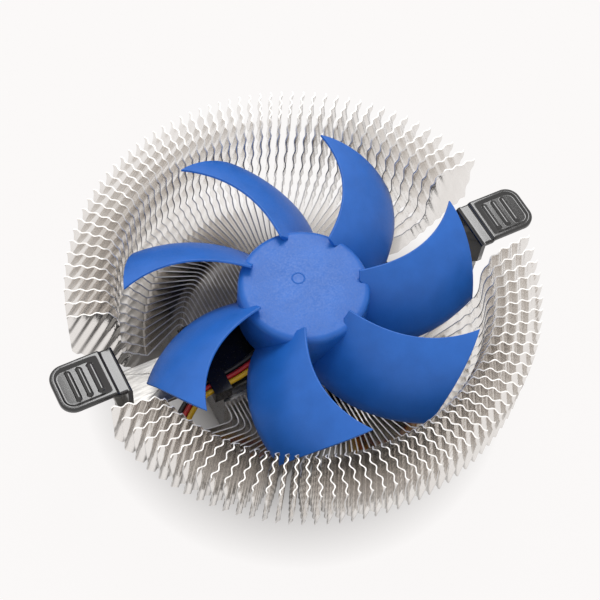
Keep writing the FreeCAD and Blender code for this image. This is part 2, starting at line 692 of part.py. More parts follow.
def hook_plate(name, turn):
    """Folded plate: finger tab on top, shoulder, and a hook arm with its window."""
    body = doc.addObject("PartDesign::Body", name + "_sheet")
    x0 = size("plate_x")
    x1 = x0 + size("plate_thickness")
    top = size("tab_height") + size("plate_thickness")
    step = size("step_height")
    foot = size("plate_foot")
    bend = size("bend_round")
    side_view = [
        (x0, foot), (x1, foot), (x1, top - size("plate_thickness")),
        (size("step_x"), top - size("plate_thickness")),
        (size("step_x") + step, top + step - size("plate_thickness")),
        (size("tab_end"), top + step - size("plate_thickness")), (size("tab_end"), top + step),
        (size("step_x") + step * 0.6, top + step), (size("step_x") - step * 0.4, top),
        (x0 + bend, top), (x0 + bend * 0.3, top - bend * 0.3), (x0, top - bend),
    ]
    pad(body, outline_sketch(body, name + "_side", "XZ_Plane", side_view), size("plate_width"), True)
    doc.recompute()
    half = size("plate_width") / 2
    arm = size("hook_width") / 2
    shoulder = size("arm_shoulder")
    for i, sign in enumerate((-1, 1)):
        strip = [(half * sign * 2, foot - 1), (half * sign * 2, shoulder + 1), (half * sign, shoulder + 1),
                 (arm * sign, shoulder - 1), (arm * sign, foot - 1)]
        pocket(body, outline_sketch(body, f"{name}_waist_{i}", "YZ_Plane", strip))
    window = size("window_width") / 2
    pocket(body, outline_sketch(body, name + "_window", "YZ_Plane",
                                rectangle(-window, window, size("window_bottom"), size("window_top"))))
    slot = size("tongue_width") / 2 + size("slot_clearance")
    low = size("core_height") - size("slot_clearance")
    high = size("core_height") + size("strap_thickness") + size("slot_clearance")
    pocket(body, outline_sketch(body, name + "_slot", "YZ_Plane", rectangle(-slot, slot, low, high)))
    doc.recompute()
    rounded = doc.addObject("Part::Common", name + "_rounded")
    rounded.Base = body
    rounded.Tool = tab_blank(name + "_blank", x0 - 1, as_dim(0), as_dim(0), size("fin_top"))
    floor = top + step - size("tray_depth")
    tray_start = size("step_x") + step + size("tray_gap")
    tray = tab_blank(name + "_tray", tray_start, size("tray_rim"), floor, size("fin_top"))
    ribs = [rib(f"{name}_rib_{i}", size("rib_first") + size("rib_pitch") * i, floor) for i in range(3)]
    plate = fuse(name, cut(name + "_pressed", rounded, tray), *ribs)
    plate.Placement = FreeCAD.Placement(FreeCAD.Vector(), FreeCAD.Rotation(FreeCAD.Vector(0, 0, 1), turn))
    return plate


def tab_blank(name, start, inset, low, high):
    """Upright solid on the plate's plan outline or inside it, with two rounded outer corners."""
    corner = size("tab_corner") - inset
    half = size("plate_width") / 2 - inset
    end = size("tab_end") - inset
    bar = centred_box(name + "_bar", end - corner - start, half * 2, low, high, (end - corner + start) / 2)
    nose = centred_box(name + "_nose", corner, half * 2 - corner * 2, low, high, end - corner / 2)
    ends = [cylinder(f"{name}_end_{i}", corner, low, high, end - corner, (half - corner) * side)
            for i, side in enumerate((-1, 1))]
    return fuse(name, bar, nose, *ends)


def rib(name, x, bottom):
    """Pressed capsule rib across the tab."""
    half_length = size("rib_length") / 2 - size("rib_width") / 2
    radius = size("rib_width") / 2
    low = bottom - 0.2
    high = bottom + size("rib_height")
    bar = centred_box(name + "_bar", size("rib_width"), half_length * 2, low, high, x)
    ends = [cylinder(f"{name}_end_{i}", radius, low, high, x, half_length * side)
            for i, side in enumerate((-1, 1))]
    return fuse(name, bar, *ends)


# Fan lead: three wires from the frame to a tied hank under the front fins.

def beside(route, offset):
    """Route moved sideways in plan by the offset, square to the way it runs."""
    moved = []
    last = len(route) - 1
    for i, point in enumerate(route):
        way = route[min(i + 1, last)] - route[max(i - 1, 0)]
        flat = FreeCAD.Vector(way.x, way.y, 0).normalize()
        moved.append(point + left_of(flat) * offset)
    return moved


def rounded_path(points):
    """Straight runs with an arc at each corner as large as the runs allow."""
    edges = []
    radii = []
    start = points[0]
    for before, corner, after in zip(points, points[1:], points[2:]):
        back = before - corner
        ahead = after - corner
        trim = 0.45 * min(back.Length, ahead.Length)
        half_turn = (math.pi - back.getAngle(ahead)) / 2
        radii.append(trim / math.tan(half_turn))
        back.normalize()
        ahead.normalize()
        enter = corner + back * trim
        leave = corner + ahead * trim
        inward = (back + ahead).normalize()
        bulge = radii[-1] / math.cos(half_turn) - radii[-1]
        edges.append(Part.LineSegment(start, enter).toShape())
        edges.append(Part.Arc(enter, corner + inward * bulge, leave).toShape())
        start = leave
    edges.append(Part.LineSegment(start, points[-1]).toShape())
    return Part.Wire(edges), radii


def lead_wire(name, offset):
    route = beside([FreeCAD.Vector(*point) for point in LEAD_ROUTE], offset * num("wire_pitch"))
    path, radii = rounded_path(route)
    radius = num("wire_radius")
    start_way = (route[1] - route[0]).normalize()
    section = Part.Wire(Part.makeCircle(radius, route[0], start_way))
    obj = doc.addObject("Part::Feature", name)
    obj.Shape = path.makePipeShell([section], True, False)
    plain = math.pi * radius ** 2 * path.Length
    print(name, "radii", [round(r, 1) for r in radii], "length", round(path.Length, 1),
          "volume share", round(obj.Shape.Volume / plain, 4))
    return obj


def stadium(name, radius, bottom, top):
    """Upright solid with the hank's plan outline at the given end radius."""
    run = size("hank_run")
    x, y = size("hank_middle"), size("hank_y")
    bar = centred_box(name + "_bar", run, radius * 2, bottom, top, x, y)
    ends = [cylinder(f"{name}_end_{i}", radius, bottom, top, x + run * side / 2, y)
            for i, side in enumerate((-1, 1))]
    return fuse(name, bar, *ends)


def lead_hank():
    """Rest of the lead, folded into flat turns with an open middle."""
    low = size("floor_gap")
    high = low + size("hank_height")
    return cut("lead_hank", stadium("hank_outer", size("hank_radius"), low, high),
               stadium("hank_eye", size("hank_inner"), low - 1, high + 1))


def hank_tie():
    gap = size("tie_gap")
    wall = size("tie_thickness")
    x, y = size("hank_middle"), size("hank_y")
    breadth = (size("hank_radius") + gap) * 2
    low = size("floor_gap") - gap
    high = size("floor_gap") + size("hank_height") + gap
    shell = centred_box("tie_shell", size("tie_width"), breadth + wall * 2, low - wall, high + wall, x, y)
    eye = centred_box("tie_eye", size("tie_width") + 2, breadth, low, high, x, y)
    return cut("hank_tie", shell, eye)


def lead_plug():
    x0, y = size("plug_x"), size("plug_y")
    length, width = size("plug_length"), size("plug_width")
    low = size("floor_gap")
    high = low + size("plug_height")
    x1 = x0 + length
    shell = centred_box("plug_shell", length, width, low, high, x0 + length / 2, y)
    side = size("socket_side")
    socket_low = low + size("socket_height")
    depth = size("socket_length")
    sockets = [centred_box(f"plug_socket_{i}", depth, side, socket_low, socket_low + side,
                           x1 - depth / 2 + 0.5, y + width / 3 * (i - 1)) for i in range(3)]
    key = size("key_length")
    key_y = width / 2 - size("key_inset") - size("key_width") / 2
    keys = [centred_box(f"plug_key_{i}", key, size("key_width"), high, high + size("key_height"),
                        x1 - key / 2, y + key_y * turn) for i, turn in enumerate((-1, 1))]
    return cut("lead_plug", fuse("plug_whole", shell, *keys), *sockets)


def build():
    pieces = [
        heatsink_core(), fin_fan("rear", 0), fin_fan("front", 180), fan_frame(),
        frame_screws(), impeller(), rotor_yoke(), magnet_ring(), shaft(), bearing_sleeve(),
        retaining_washer(), stator_core(), windings(), circuit_board(), board_parts(), clip_strap(),
        hook_plate("right_hook_plate", 0), hook_plate("left_hook_plate", 180),
        lead_wire("black_wire", -1), lead_wire("red_wire", 0), lead_wire("yellow_wire", 1),
        lead_hank(), hank_tie(), lead_plug(),
    ]
    doc.recompute()
    faults = [obj.Name for obj in doc.Objects if {"Invalid", "Error"} & set(obj.State)]
    if faults:
        raise RuntimeError(f"failed objects: {faults}")
    os.makedirs("parts", exist_ok=True)
    for piece in pieces:
        if piece.Shape.isNull() or not piece.Shape.isValid():
            raise RuntimeError(f"bad shape: {piece.Label}")
    for piece in pieces:
        piece.Shape.exportStep(f"parts/{piece.Label}.step")
        print(piece.Label, len(piece.Shape.Solids), round(piece.Shape.Volume, 1))


build()
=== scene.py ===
import math

import bpy
from mathutils import Matrix, Vector


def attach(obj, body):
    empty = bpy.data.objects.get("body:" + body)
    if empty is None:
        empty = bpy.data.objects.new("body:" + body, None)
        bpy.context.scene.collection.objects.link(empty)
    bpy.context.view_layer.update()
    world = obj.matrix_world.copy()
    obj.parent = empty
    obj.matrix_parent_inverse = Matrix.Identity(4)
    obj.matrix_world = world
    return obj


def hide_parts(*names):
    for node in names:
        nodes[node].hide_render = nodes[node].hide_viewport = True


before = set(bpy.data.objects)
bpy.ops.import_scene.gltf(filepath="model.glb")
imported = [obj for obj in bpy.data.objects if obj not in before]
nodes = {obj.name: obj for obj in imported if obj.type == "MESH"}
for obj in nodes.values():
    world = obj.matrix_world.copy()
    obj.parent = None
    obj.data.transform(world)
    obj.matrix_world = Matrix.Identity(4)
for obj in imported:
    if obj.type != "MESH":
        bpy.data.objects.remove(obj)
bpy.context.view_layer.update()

MM = 0.001

# Sizes in millimetres, most of them the same as in the part's source.
FIN_COUNT = 50
FIN_SHEET = 0.29
FIN_RADIUS = 52.0
FIN_TOP = 37.0
STACK_HALF = 23.5
CORE_HALF_WIDTH, CORE_TOP = 10.8, 15.8
BEND_RADIUS = 27.5
BEND_CORNER = 2.2
KINK_RADIUS = 35.7
FAN_HALF_ANGLE = 76.8
FAN_CROWDING = 8.5
FAN_SWING = {"rear": (7.0, 4.0, 1.0), "front": (-10.5, 21.0, 13.0)}
WALL_RADIUS = 41.2
WALL_FOOT = 19.7
WALL_SLOPE = 0.5
LIP_RADIUS = 43.9
LIP_ROUND = 2.0
ROOT_BOTTOM, ROOT_TOP = 6.5, 12.5
KINK_BOTTOM, KINK_TOP = 9.2, 16.6
BELLY_RADIUS, BELLY_HEIGHT = 39.0, 11.5
OUTER_BOTTOM = 22.5
WAVE_PITCH = 2.8
WAVE_DEPTH = {"rear": 0.25, "front": 0.35}
WAVE_LEAN = {"rear": math.tan(math.radians(24)), "front": math.tan(math.radians(13))}
WAVE_INSET = 16.8
WAVE_FADE = 6.0

BLADE_COUNT = 7
BLADE_RADIUS = 39.3
BLADE_TOP, BLADE_BOTTOM = 36.8, 21.7
BLADE_THICKNESS = 1.5
BLADE_EDGE_SHARE, BLADE_SWELL = 0.36, 0.6
BLADE_PHASE = 57.4
BLADE_CORNER = 1.5
BLADE_ROOT_RISE = 1.6
BLADE_CAMBER = 0.09
BLADE_ROOT_RADIUS = 12.2
BLADE_ROOT_LAG = 20.2
BLADE_ROOT_DEPTH, BLADE_ROOT_BITE = 1.0, 0.8
BLADE_CURL = 1.8
BLADE_LAG = 28.5
BLADE_SWEEP = 1.37
HUB_RADIUS, HUB_TOP, HUB_BOTTOM = 14.7, 33.7, 21.9
HUB_RIM = 1.5
HUB_CROWN = 0.45
HUB_WALL = 1.4
HUB_CHAMFER = 0.2
MARK = (-0.7, 1.7)
MARK_PROFILE = ((1.15, -0.1), (1.25, 0.12), (1.5, 0.12), (1.6, -0.1))

PLATE_X, PLATE_THICKNESS = 43.6, 1.1
PLATE_HALF, ARM_HALF = 5.75, 4.3
PLATE_FOOT, TAB_TOP, TAB_END = 1.5, 29.2, 58.8
ARM_SHOULDER = 21.5
TAB_CORNER, TAB_EDGE = 3.4, 0.4
BEND_ROUND = 1.0
STEP_X, STEP_HEIGHT, STEP_LEAD = 46.6, 0.7, 0.4
TRAY_X, TRAY_RIM, TRAY_DEPTH = 48.7, 0.9, 0.4
TRAY_WALL, TRAY_RUN_IN = 0.6, 2.4
RIBS = (49.6, 52.1, 54.6)
RIB_HALF_WIDTH, RIB_STRAIGHT, RIB_HEIGHT = 0.65, 3.15, 0.5
WINDOW = (2.7, 4.0, 8.6)
SLOT_HALF = 3.3
TONGUE_SLOT = (SLOT_HALF, CORE_TOP - 0.1, CORE_TOP + 1.3)
TAB_STEP, END_STEP, END_LENGTH = 0.13, 0.05, 0.6

WIRE_RADIUS = 0.6
WIRE_PITCH = 1.3
HANK_LEFT, HANK_RIGHT = 4.4, 15.1
HANK_Y = -27.0
HANK_MIDDLE_RADIUS = 4.9
HANK_RUN = (5.2, 9.2, 13.2)
HANK_WIDENING, HANK_LEFT_SHARE = 1.06, 0.8
HANK_TURNS = 2
PLUG_RUN = (18.0, 22.6)
LAYER = 1.3
FRONT_RISE = 0.4
LEAD_ROUTE = [
    (-11.6, -5.2, 20.5), (-16.6, -6.6, 20.3), (-21.6, -7.5, 20.05), (-28.8, -7.75, 20.05),
    (-32.2, -8.5, 15.6), (-34.4, -9.2, 11.0), (-36.2, -11.4, 6.4), (-36.4, -15.4, 2.8),
    (-33.0, -19.4, 1.5), (-27.0, -21.6, 1.25), (-20.0, -22.1, 1.25), (-13.6, -22.1, 1.25),
]

FLOOR_HALF = 1500.0

# Camera of the photograph, in the part's frame.
EYE = Vector((-86.15, -129.16, 273.44)) * MM
FORWARD = Vector((0.2937, 0.4438, -0.8466))
ROLL = math.radians(7.128)
LENS = 78.06

# Light and floor, in metres and watts. The floor shows its own paleness to each kind of ray by the
# distance from the middle of the shadow: from none at the first distance to the last share at the second.
# Where the paleness fades, near the part, the dark base shows as a painted shadow, also in the fins'
# reflections.
FLOOR_GLOW_AND_PAINTED_SHADOW = (
    ("Is Camera Ray", (-0.001, -0.002, 0), 0.022, 0.051, 0.94),
    ("Is Glossy Ray", (-0.008, -0.004, 0), 0.032, 0.052, 0.95),
    ("Is Transmission Ray", (-0.008, -0.004, 0), 0.032, 0.052, 0.95),
)
# Dark paper base, which shows where the paleness fades: painted shade under and around the part.
FLOOR_PAPER_AND_PAINTED_SHADE = (0.40, 0.388, 0.376, 1)
FLOOR_PALE = (1.0, 0.981, 0.974, 1)
SKY_COLOUR, SKY_STRENGTH = (1.0, 0.985, 0.975, 1), 0.74
BACKDROP = (0.96, 0.945, 0.938, 1)
KEY_AT, KEY_AIM = Vector((0.28, 0.48, 0.88)), Vector((0, 0, 0.02))
KEY_SIZE, KEY_POWER = 0.46, 3.7


def link(obj):
    bpy.context.scene.collection.objects.link(obj)
    return obj


def mesh_object(name, vertices, faces, sharp=40):
    mesh = bpy.data.meshes.new(name)
    mesh.from_pydata([Vector(v) * MM for v in vertices], [], faces)
    mesh.validate()
    mesh.shade_smooth()
    mesh.set_sharp_from_angle(angle=math.radians(sharp))
    return link(bpy.data.objects.new(name, mesh))


def make_camera():
    right = FORWARD.cross(Vector((0, 0, 1))).normalized()
    up = right.cross(FORWARD).normalized()
    turned_right = right * math.cos(ROLL) + up * math.sin(ROLL)
    turned_up = up * math.cos(ROLL) - right * math.sin(ROLL)
    data = bpy.data.cameras.new("camera")
    data.lens = LENS
    data.sensor_width = 36.0
    data.clip_start, data.clip_end = 0.01, 10.0
    camera = link(bpy.data.objects.new("camera", data))
    basis = Matrix((turned_right, turned_up, -FORWARD)).transposed()
    camera.matrix_world = Matrix.Translation(EYE) @ basis.to_4x4()
    bpy.context.scene.camera = camera


# Materials

def node(tree, kind, **inputs):
    made = tree.nodes.new(kind)
    for name, value in inputs.items():
        made.inputs[name.replace("_", " ")].default_value = value
    return made


def noise(tree, scale, stretch=(1, 1, 1), detail=4.0):
    coords = tree.nodes.new("ShaderNodeTexCoord")
    mapping = node(tree, "ShaderNodeMapping", Scale=stretch)
    texture = node(tree, "ShaderNodeTexNoise", Scale=scale, Detail=detail)
    tree.links.new(coords.outputs["Object"], mapping.inputs["Vector"])
    tree.links.new(mapping.outputs["Vector"], texture.inputs["Vector"])
    return texture.outputs["Fac"]


def ramp(tree, source, low, high):
    made = node(tree, "ShaderNodeMapRange", From_Min=0.3, From_Max=0.7, To_Min=low, To_Max=high)
    tree.links.new(source, made.inputs["Value"])
    return made.outputs["Result"]


def combine(tree, operation, first, second):
    made = tree.nodes.new("ShaderNodeMath")
    made.operation = operation
    tree.links.new(first, made.inputs[0])
    tree.links.new(second, made.inputs[1])
    return made.outputs["Value"]


def material(name, dark, light, roughness, metallic=0.0, mottle=220.0, grain=2600.0,
             stretch=(1, 1, 1), bump=0.06, specular=0.5):
    """Procedural finish: mottled colour, uneven gloss and a fine grain in relief."""
    made = bpy.data.materials.new(name)
    made.use_nodes = True
    tree = made.node_tree
    shader = tree.nodes["Principled BSDF"]
    shader.inputs["Metallic"].default_value = metallic
    shader.inputs["Specular IOR Level"].default_value = specular
    blotches = noise(tree, mottle, stretch)
    colour = tree.nodes.new("ShaderNodeMix")
    colour.data_type = "RGBA"
    colour.inputs["A"].default_value = (*dark, 1)
    colour.inputs["B"].default_value = (*light, 1)
    tree.links.new(ramp(tree, blotches, 0.0, 1.0), colour.inputs["Factor"])
    tree.links.new(colour.outputs["Result"], shader.inputs["Base Color"])
    fine = noise(tree, grain, stretch, 6.0)
    tree.links.new(ramp(tree, fine, roughness * 0.82, roughness * 1.18), shader.inputs["Roughness"])
    relief = node(tree, "ShaderNodeBump", Strength=bump, Distance=0.0002)
    tree.links.new(fine, relief.inputs["Height"])
    tree.links.new(relief.outputs["Normal"], shader.inputs["Normal"])
    return made


def make_materials():
    return {
        "fins": material("rolled_aluminium", (0.775, 0.749, 0.721), (0.850, 0.829, 0.805), 0.17, 1.0,
                         mottle=160, grain=1500, stretch=(1, 1, 0.15), bump=0.10),
        "fin_edges": material("sheared_aluminium", (0.72, 0.705, 0.688), (0.81, 0.798, 0.78), 0.58, 0.85,
                              mottle=300, grain=2200, bump=0.08),
        "core": material("machined_aluminium", (0.62, 0.62, 0.63), (0.74, 0.74, 0.75), 0.30, 1.0,
                         stretch=(0.1, 1, 1), bump=0.12),
        "blue": material("blue_plastic", (0.011, 0.128, 0.530), (0.016, 0.152, 0.610), 0.45, bump=0.10),
        "black": material("black_plastic", (0.006, 0.006, 0.006), (0.010, 0.009, 0.009), 0.24, bump=0.02),
        "white": material("white_plastic", (0.74, 0.72, 0.66), (0.82, 0.80, 0.75), 0.40),
        "plated": material("plated_steel", (0.34, 0.33, 0.315), (0.44, 0.43, 0.41), 0.42, 1.0,
                           stretch=(0.12, 1, 1), bump=0.10),
        "black_steel": material("black_steel", (0.006, 0.006, 0.006), (0.010, 0.009, 0.009), 0.10,
                                bump=0.004, specular=0.8),
        "magnet": material("ferrite", (0.020, 0.018, 0.017), (0.035, 0.032, 0.030), 0.6),
        "brass": material("sintered_brass", (0.42, 0.27, 0.10), (0.55, 0.37, 0.15), 0.42, 1.0),
        "copper": material("enamelled_copper", (0.46, 0.17, 0.06), (0.58, 0.24, 0.09), 0.28, 1.0,
                           stretch=(1, 1, 6)),
        "board": material("solder_mask", (0.012, 0.075, 0.030), (0.018, 0.105, 0.042), 0.34),
        "wire_black": material("black_sleeve", (0.009, 0.009, 0.009), (0.016, 0.015, 0.015), 0.38),
        "wire_red": material("red_sleeve", (0.42, 0.012, 0.016), (0.52, 0.018, 0.022), 0.38),
        "wire_yellow": material("yellow_sleeve", (0.72, 0.42, 0.012), (0.82, 0.50, 0.018), 0.38),
    }


# Fins

def polar(radius, angle):
    return Vector((radius * math.sin(angle), radius * math.cos(angle)))


def blend(a, b, share):
    return a + (b - a) * share


def fin_plan(fan, share):
    x = STACK_HALF * share
    angle = (FAN_HALF_ANGLE - FAN_CROWDING) * share + FAN_CROWDING * share ** 3
    twist, spread, flare = FAN_SWING[fan]
    swing = twist + spread * share + flare * share ** 2
    root = Vector((x, CORE_HALF_WIDTH))
    bend = Vector((x, math.sqrt(BEND_RADIUS ** 2 - x ** 2)))
    outer = polar(FIN_RADIUS, math.radians(angle))
    heading = polar(1, math.radians(angle + swing))
    reach = outer.dot(heading)
    kink = outer - heading * (reach - math.sqrt(reach ** 2 - FIN_RADIUS ** 2 + KINK_RADIUS ** 2))
    return root, bend, kink, heading


def along(kink, heading, radius):
    reach = kink.dot(heading)
    return math.sqrt(reach ** 2 - kink.dot(kink) + radius ** 2) - reach


def eased(points, value):
    """Value of a broken line through (position, height) points."""
    for (a, low), (b, high) in zip(points, points[1:]):
        if value <= b:
            return low + (high - low) * max(0.0, value - a) / max(b - a, 1e-9)
    return points[-1][1]


def fin_columns(fan, share):
    """Stations along one fin: plan point, low, middle and high edge, wave place. Also their sides."""
    root, bend, kink, heading = fin_plan(fan, share)
    reach = along(kink, heading, FIN_RADIUS)
    wall = along(kink, heading, WALL_RADIUS)
    lip = along(kink, heading, LIP_RADIUS)
    belly = along(kink, heading, BELLY_RADIUS)
    columns = []
    into = bend + (root - bend).normalized() * BEND_CORNER
    out_of = bend + (kink - bend).normalized() * BEND_CORNER
    plan = [root, blend(root, into, 0.5)]
    for i in range(6):
        t = i / 5
        plan.append(blend(blend(into, bend, t), blend(bend, out_of, t), t))
    plan += [blend(out_of, kink, t) for t in (0.25, 0.5, 0.75)]
    travelled = [0.0]
    for a, b in zip(plan, plan[1:]):
        travelled.append(travelled[-1] + (b - a).length)
    total = travelled[-1] + (kink - plan[-1]).length
    turn = travelled[4]
    for place, point in zip(travelled, plan):
        low = eased([(0, ROOT_BOTTOM), (turn, ROOT_BOTTOM), (total, KINK_BOTTOM)], place)
        high = eased([(0, ROOT_TOP), (turn, ROOT_TOP), (total, KINK_TOP)], place)
        columns.append((point, low, high, None, None))
    inner_steps, outer_steps = 12, 24
    stations = [wall * i / inner_steps for i in range(inner_steps)]
    stations += [wall + (reach - wall) * i / outer_steps for i in range(outer_steps + 1)]
    lip_line = [(wall, FIN_TOP - LIP_ROUND * 2.25), (wall + LIP_ROUND / 2, FIN_TOP - LIP_ROUND * 0.75),
                (lip, FIN_TOP), (reach, FIN_TOP)]
    for s in stations:
        low = eased([(0, KINK_BOTTOM), (belly, BELLY_HEIGHT), (reach, OUTER_BOTTOM)], s)
        middle, high = eased([(0, KINK_TOP), (wall, WALL_FOOT)], s), None
        if s >= wall - 1e-9:
            middle, high = WALL_FOOT + (s - wall) * WALL_SLOPE, eased(lip_line, s)
        columns.append((kink + heading * s, low, middle, high, s - (reach - WAVE_INSET)))
    sides = []
    points = [c[0] for c in columns]
    for i in range(len(points)):
        way = (points[min(i + 1, len(points) - 1)] - points[max(i - 1, 0)]).normalized()
        sides.append(Vector((-way.y, way.x)))
    return columns, sides, reach


def wave(fan, place, height, fade):
    if place is None:
        return 0.0
    phase = (place - (FIN_TOP - height) * WAVE_LEAN[fan]) / WAVE_PITCH
    return WAVE_DEPTH[fan] * fade * math.sin(2 * math.pi * phase)


def fin_mesh(fan, share, turn, vertices, faces):
    columns, sides, reach = fin_columns(fan, share)
    low_rows, high_rows = 8, 20
    grid = {}
    nodes_here = []

    def add(i, j, height):
        point, side, place = columns[i][0], sides[i], columns[i][4]
        fade = 0.0 if place is None else min(1.0, max(0.0, (place + reach - WAVE_INSET) / WAVE_FADE))
        offset = wave(fan, place, height, fade)
        grid[i, j] = len(nodes_here)
        nodes_here.append((point + side * offset, side, height))

    for i, (_, low, middle, high, _) in enumerate(columns):
        for j in range(low_rows + 1):
            add(i, j, blend(low, middle, j / low_rows))
        if high is not None:
            for j in range(1, high_rows + 1):
                add(i, low_rows + j, blend(middle, high, j / high_rows))
    quads = []
    for i in range(len(columns) - 1):
        for j in range(low_rows + high_rows):
            corners = [(i, j), (i + 1, j), (i + 1, j + 1), (i, j + 1)]
            if all(c in grid for c in corners):
                quads.append([grid[c] for c in corners])
    start = len(vertices)
    count = len(nodes_here)
    for half in (FIN_SHEET / 2, -FIN_SHEET / 2):
        for point, side, height in nodes_here:
            p = point + side * half
            vertices.append((p.x * turn, p.y * turn, height))
    edges = {}
    for quad in quads:
        for a, b in zip(quad, quad[1:] + quad[:1]):
            edges[a, b] = True
    for quad in quads:
        faces.append([start + v for v in reversed(quad)])
        faces.append([start + count + v for v in quad])
    sides_end = len(faces)
    for a, b in edges:
        if (b, a) not in edges:
            faces.append([start + a, start + b, start + count + b, start + count + a])
    return range(sides_end, len(faces))


def make_fins(fan, turn, finish, edge_finish):
    vertices, faces, edges = [], [], []
    for i in range(FIN_COUNT):
        edges += fin_mesh(fan, 2 * i / (FIN_COUNT - 1) - 1, turn, vertices, faces)
    fins = mesh_object(f"corrugated_{fan}_fins", vertices, faces, 50)
    fins.data.materials.append(finish)
    fins.data.materials.append(edge_finish)
    for i in edges:
        fins.data.polygons[i].material_index = 1
    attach(fins, "base")
    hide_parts(fan + "_fins")


# Impeller

def blade_point(reach, down):
    """Point on a blade's middle surface: reach from root to tip, down from upper to lower edge."""
    station = blend(BLADE_ROOT_RADIUS, BLADE_RADIUS, reach)
    upper = -BLADE_ROOT_LAG * (1 - reach ** BLADE_CURL)
    lower = -BLADE_LAG - BLADE_SWEEP * (BLADE_RADIUS - station)
    crest = blend(HUB_TOP + BLADE_ROOT_RISE, BLADE_TOP, reach)
    height = blend(crest, BLADE_BOTTOM, down)
    width = station * math.radians(upper - lower)
    bulge = BLADE_CAMBER * reach * 4 * down * (1 - down)
    height += bulge * width
    limit = BLADE_RADIUS
    dip = BLADE_BOTTOM + BLADE_CORNER - height
    if dip > 0:
        limit += math.sqrt(max(BLADE_CORNER ** 2 - dip ** 2, 0.0)) - BLADE_CORNER
    inside = BLADE_ROOT_RADIUS if height > HUB_TOP - BLADE_ROOT_DEPTH else HUB_RADIUS - BLADE_ROOT_BITE
    radius = blend(inside, limit, reach)
    angle = math.radians(blend(upper, lower, down)) - bulge * (crest - BLADE_BOTTOM) / station
    return Vector((radius * math.cos(angle), radius * math.sin(angle), height))


def blade_mesh(turn, vertices, faces):
    across, downs = 22, 14
    start = len(vertices)
    count = (across + 1) * (downs + 1)
    step = 1e-3
    rotation = Matrix.Rotation(math.radians(turn), 3, "Z")
    sheets = ([], [])
    for i in range(across + 1):
        for j in range(downs + 1):
            u, v = i / across, j / downs
            point = blade_point(u, v)
            du = blade_point(min(u + step, 1), v) - blade_point(max(u - step, 0), v)
            dv = blade_point(u, min(v + step, 1)) - blade_point(u, max(v - step, 0))
            normal = du.cross(dv).normalized()
            swell = math.sin(math.pi * v) ** BLADE_SWELL
            half = BLADE_THICKNESS / 2 * blend(BLADE_EDGE_SHARE, 1, swell)
            sheets[0].append(rotation @ (point + normal * half))
            sheets[1].append(rotation @ (point - normal * half))
    vertices.extend(sheets[0] + sheets[1])

    def index(i, j):
        return start + i * (downs + 1) + j

    for i in range(across):
        for j in range(downs):
            quad = [index(i, j), index(i + 1, j), index(i + 1, j + 1), index(i, j + 1)]
            faces.append(quad)
            faces.append([v + count for v in reversed(quad)])
    rim = [(i, 0) for i in range(across)] + [(across, j) for j in range(downs)]
    rim += [(i, downs) for i in range(across, 0, -1)] + [(0, j) for j in range(downs, 0, -1)]
    for a, b in zip(rim, rim[1:] + rim[:1]):
        faces.append([index(*b), index(*a), index(*a) + count, index(*b) + count])


def revolve(profile, vertices, faces, segments=128):
    start = len(vertices)
    rows = len(profile)
    for i in range(segments):
        angle = 2 * math.pi * i / segments
        for radius, height in profile:
            vertices.append((radius * math.cos(angle), radius * math.sin(angle), height))
    for i in range(segments):
        for j in range(rows - 1):
            a, b = start + i * rows + j, start + (i + 1) % segments * rows + j
            faces.append([a, b, b + 1, a + 1])


def hub_profile():
    flat = HUB_RADIUS - HUB_RIM
    edge = HUB_TOP - HUB_CROWN - HUB_RIM
    rim = [(flat + HUB_RIM * math.sin(t), edge + HUB_RIM * math.cos(t))
           for t in [math.pi / 2 * i / 8 for i in range(9)]]
    top = [(r, HUB_TOP - HUB_CROWN * (r / flat) ** 2) for r in (0.01, 2.0, 4.0, 6.0, 8.0, 10.0, 11.6)]
    inner = HUB_RADIUS - HUB_WALL
    skirt = [(HUB_RADIUS, HUB_BOTTOM + HUB_CHAMFER), (HUB_RADIUS - HUB_CHAMFER, HUB_BOTTOM),
             (inner, HUB_BOTTOM), (inner, HUB_TOP - HUB_WALL), (0.01, HUB_TOP - HUB_WALL)]
    return (top + rim + skirt)[::-1]


def hub_mark(vertices, faces):
    """Plain moulded ring on the hub, a little off its middle."""
    start = len(vertices)
    revolve([(r, HUB_TOP + z) for r, z in MARK_PROFILE], vertices, faces, 48)
    for i in range(start, len(vertices)):
        x, y, z = vertices[i]
        vertices[i] = (x + MARK[0], y + MARK[1], z)


def make_impeller(finish):
    vertices, faces = [], []
    revolve(hub_profile(), vertices, faces)
    hub_mark(vertices, faces)
    for i in range(BLADE_COUNT):
        blade_mesh(BLADE_PHASE - 360 * i / BLADE_COUNT, vertices, faces)
    impeller = mesh_object("moulded_impeller", vertices, faces, 50)
    soften = impeller.modifiers.new("soft_edges", "BEVEL")
    soften.width = 0.18 * MM
    soften.segments = 2
    soften.limit_method = "ANGLE"
    soften.angle_limit = math.radians(50)
    impeller.data.materials.append(finish)
    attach(impeller, "rotor")
    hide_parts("impeller")


# Fan lead

def beside(route, offset):
    moved = []
    last = len(route) - 1
    for i, point in enumerate(route):
        way = route[min(i + 1, last)] - route[max(i - 1, 0)]
        flat = Vector((way.x, way.y, 0)).normalized()
        moved.append(point + Vector((-flat.y, flat.x, 0)) * offset)
    return moved


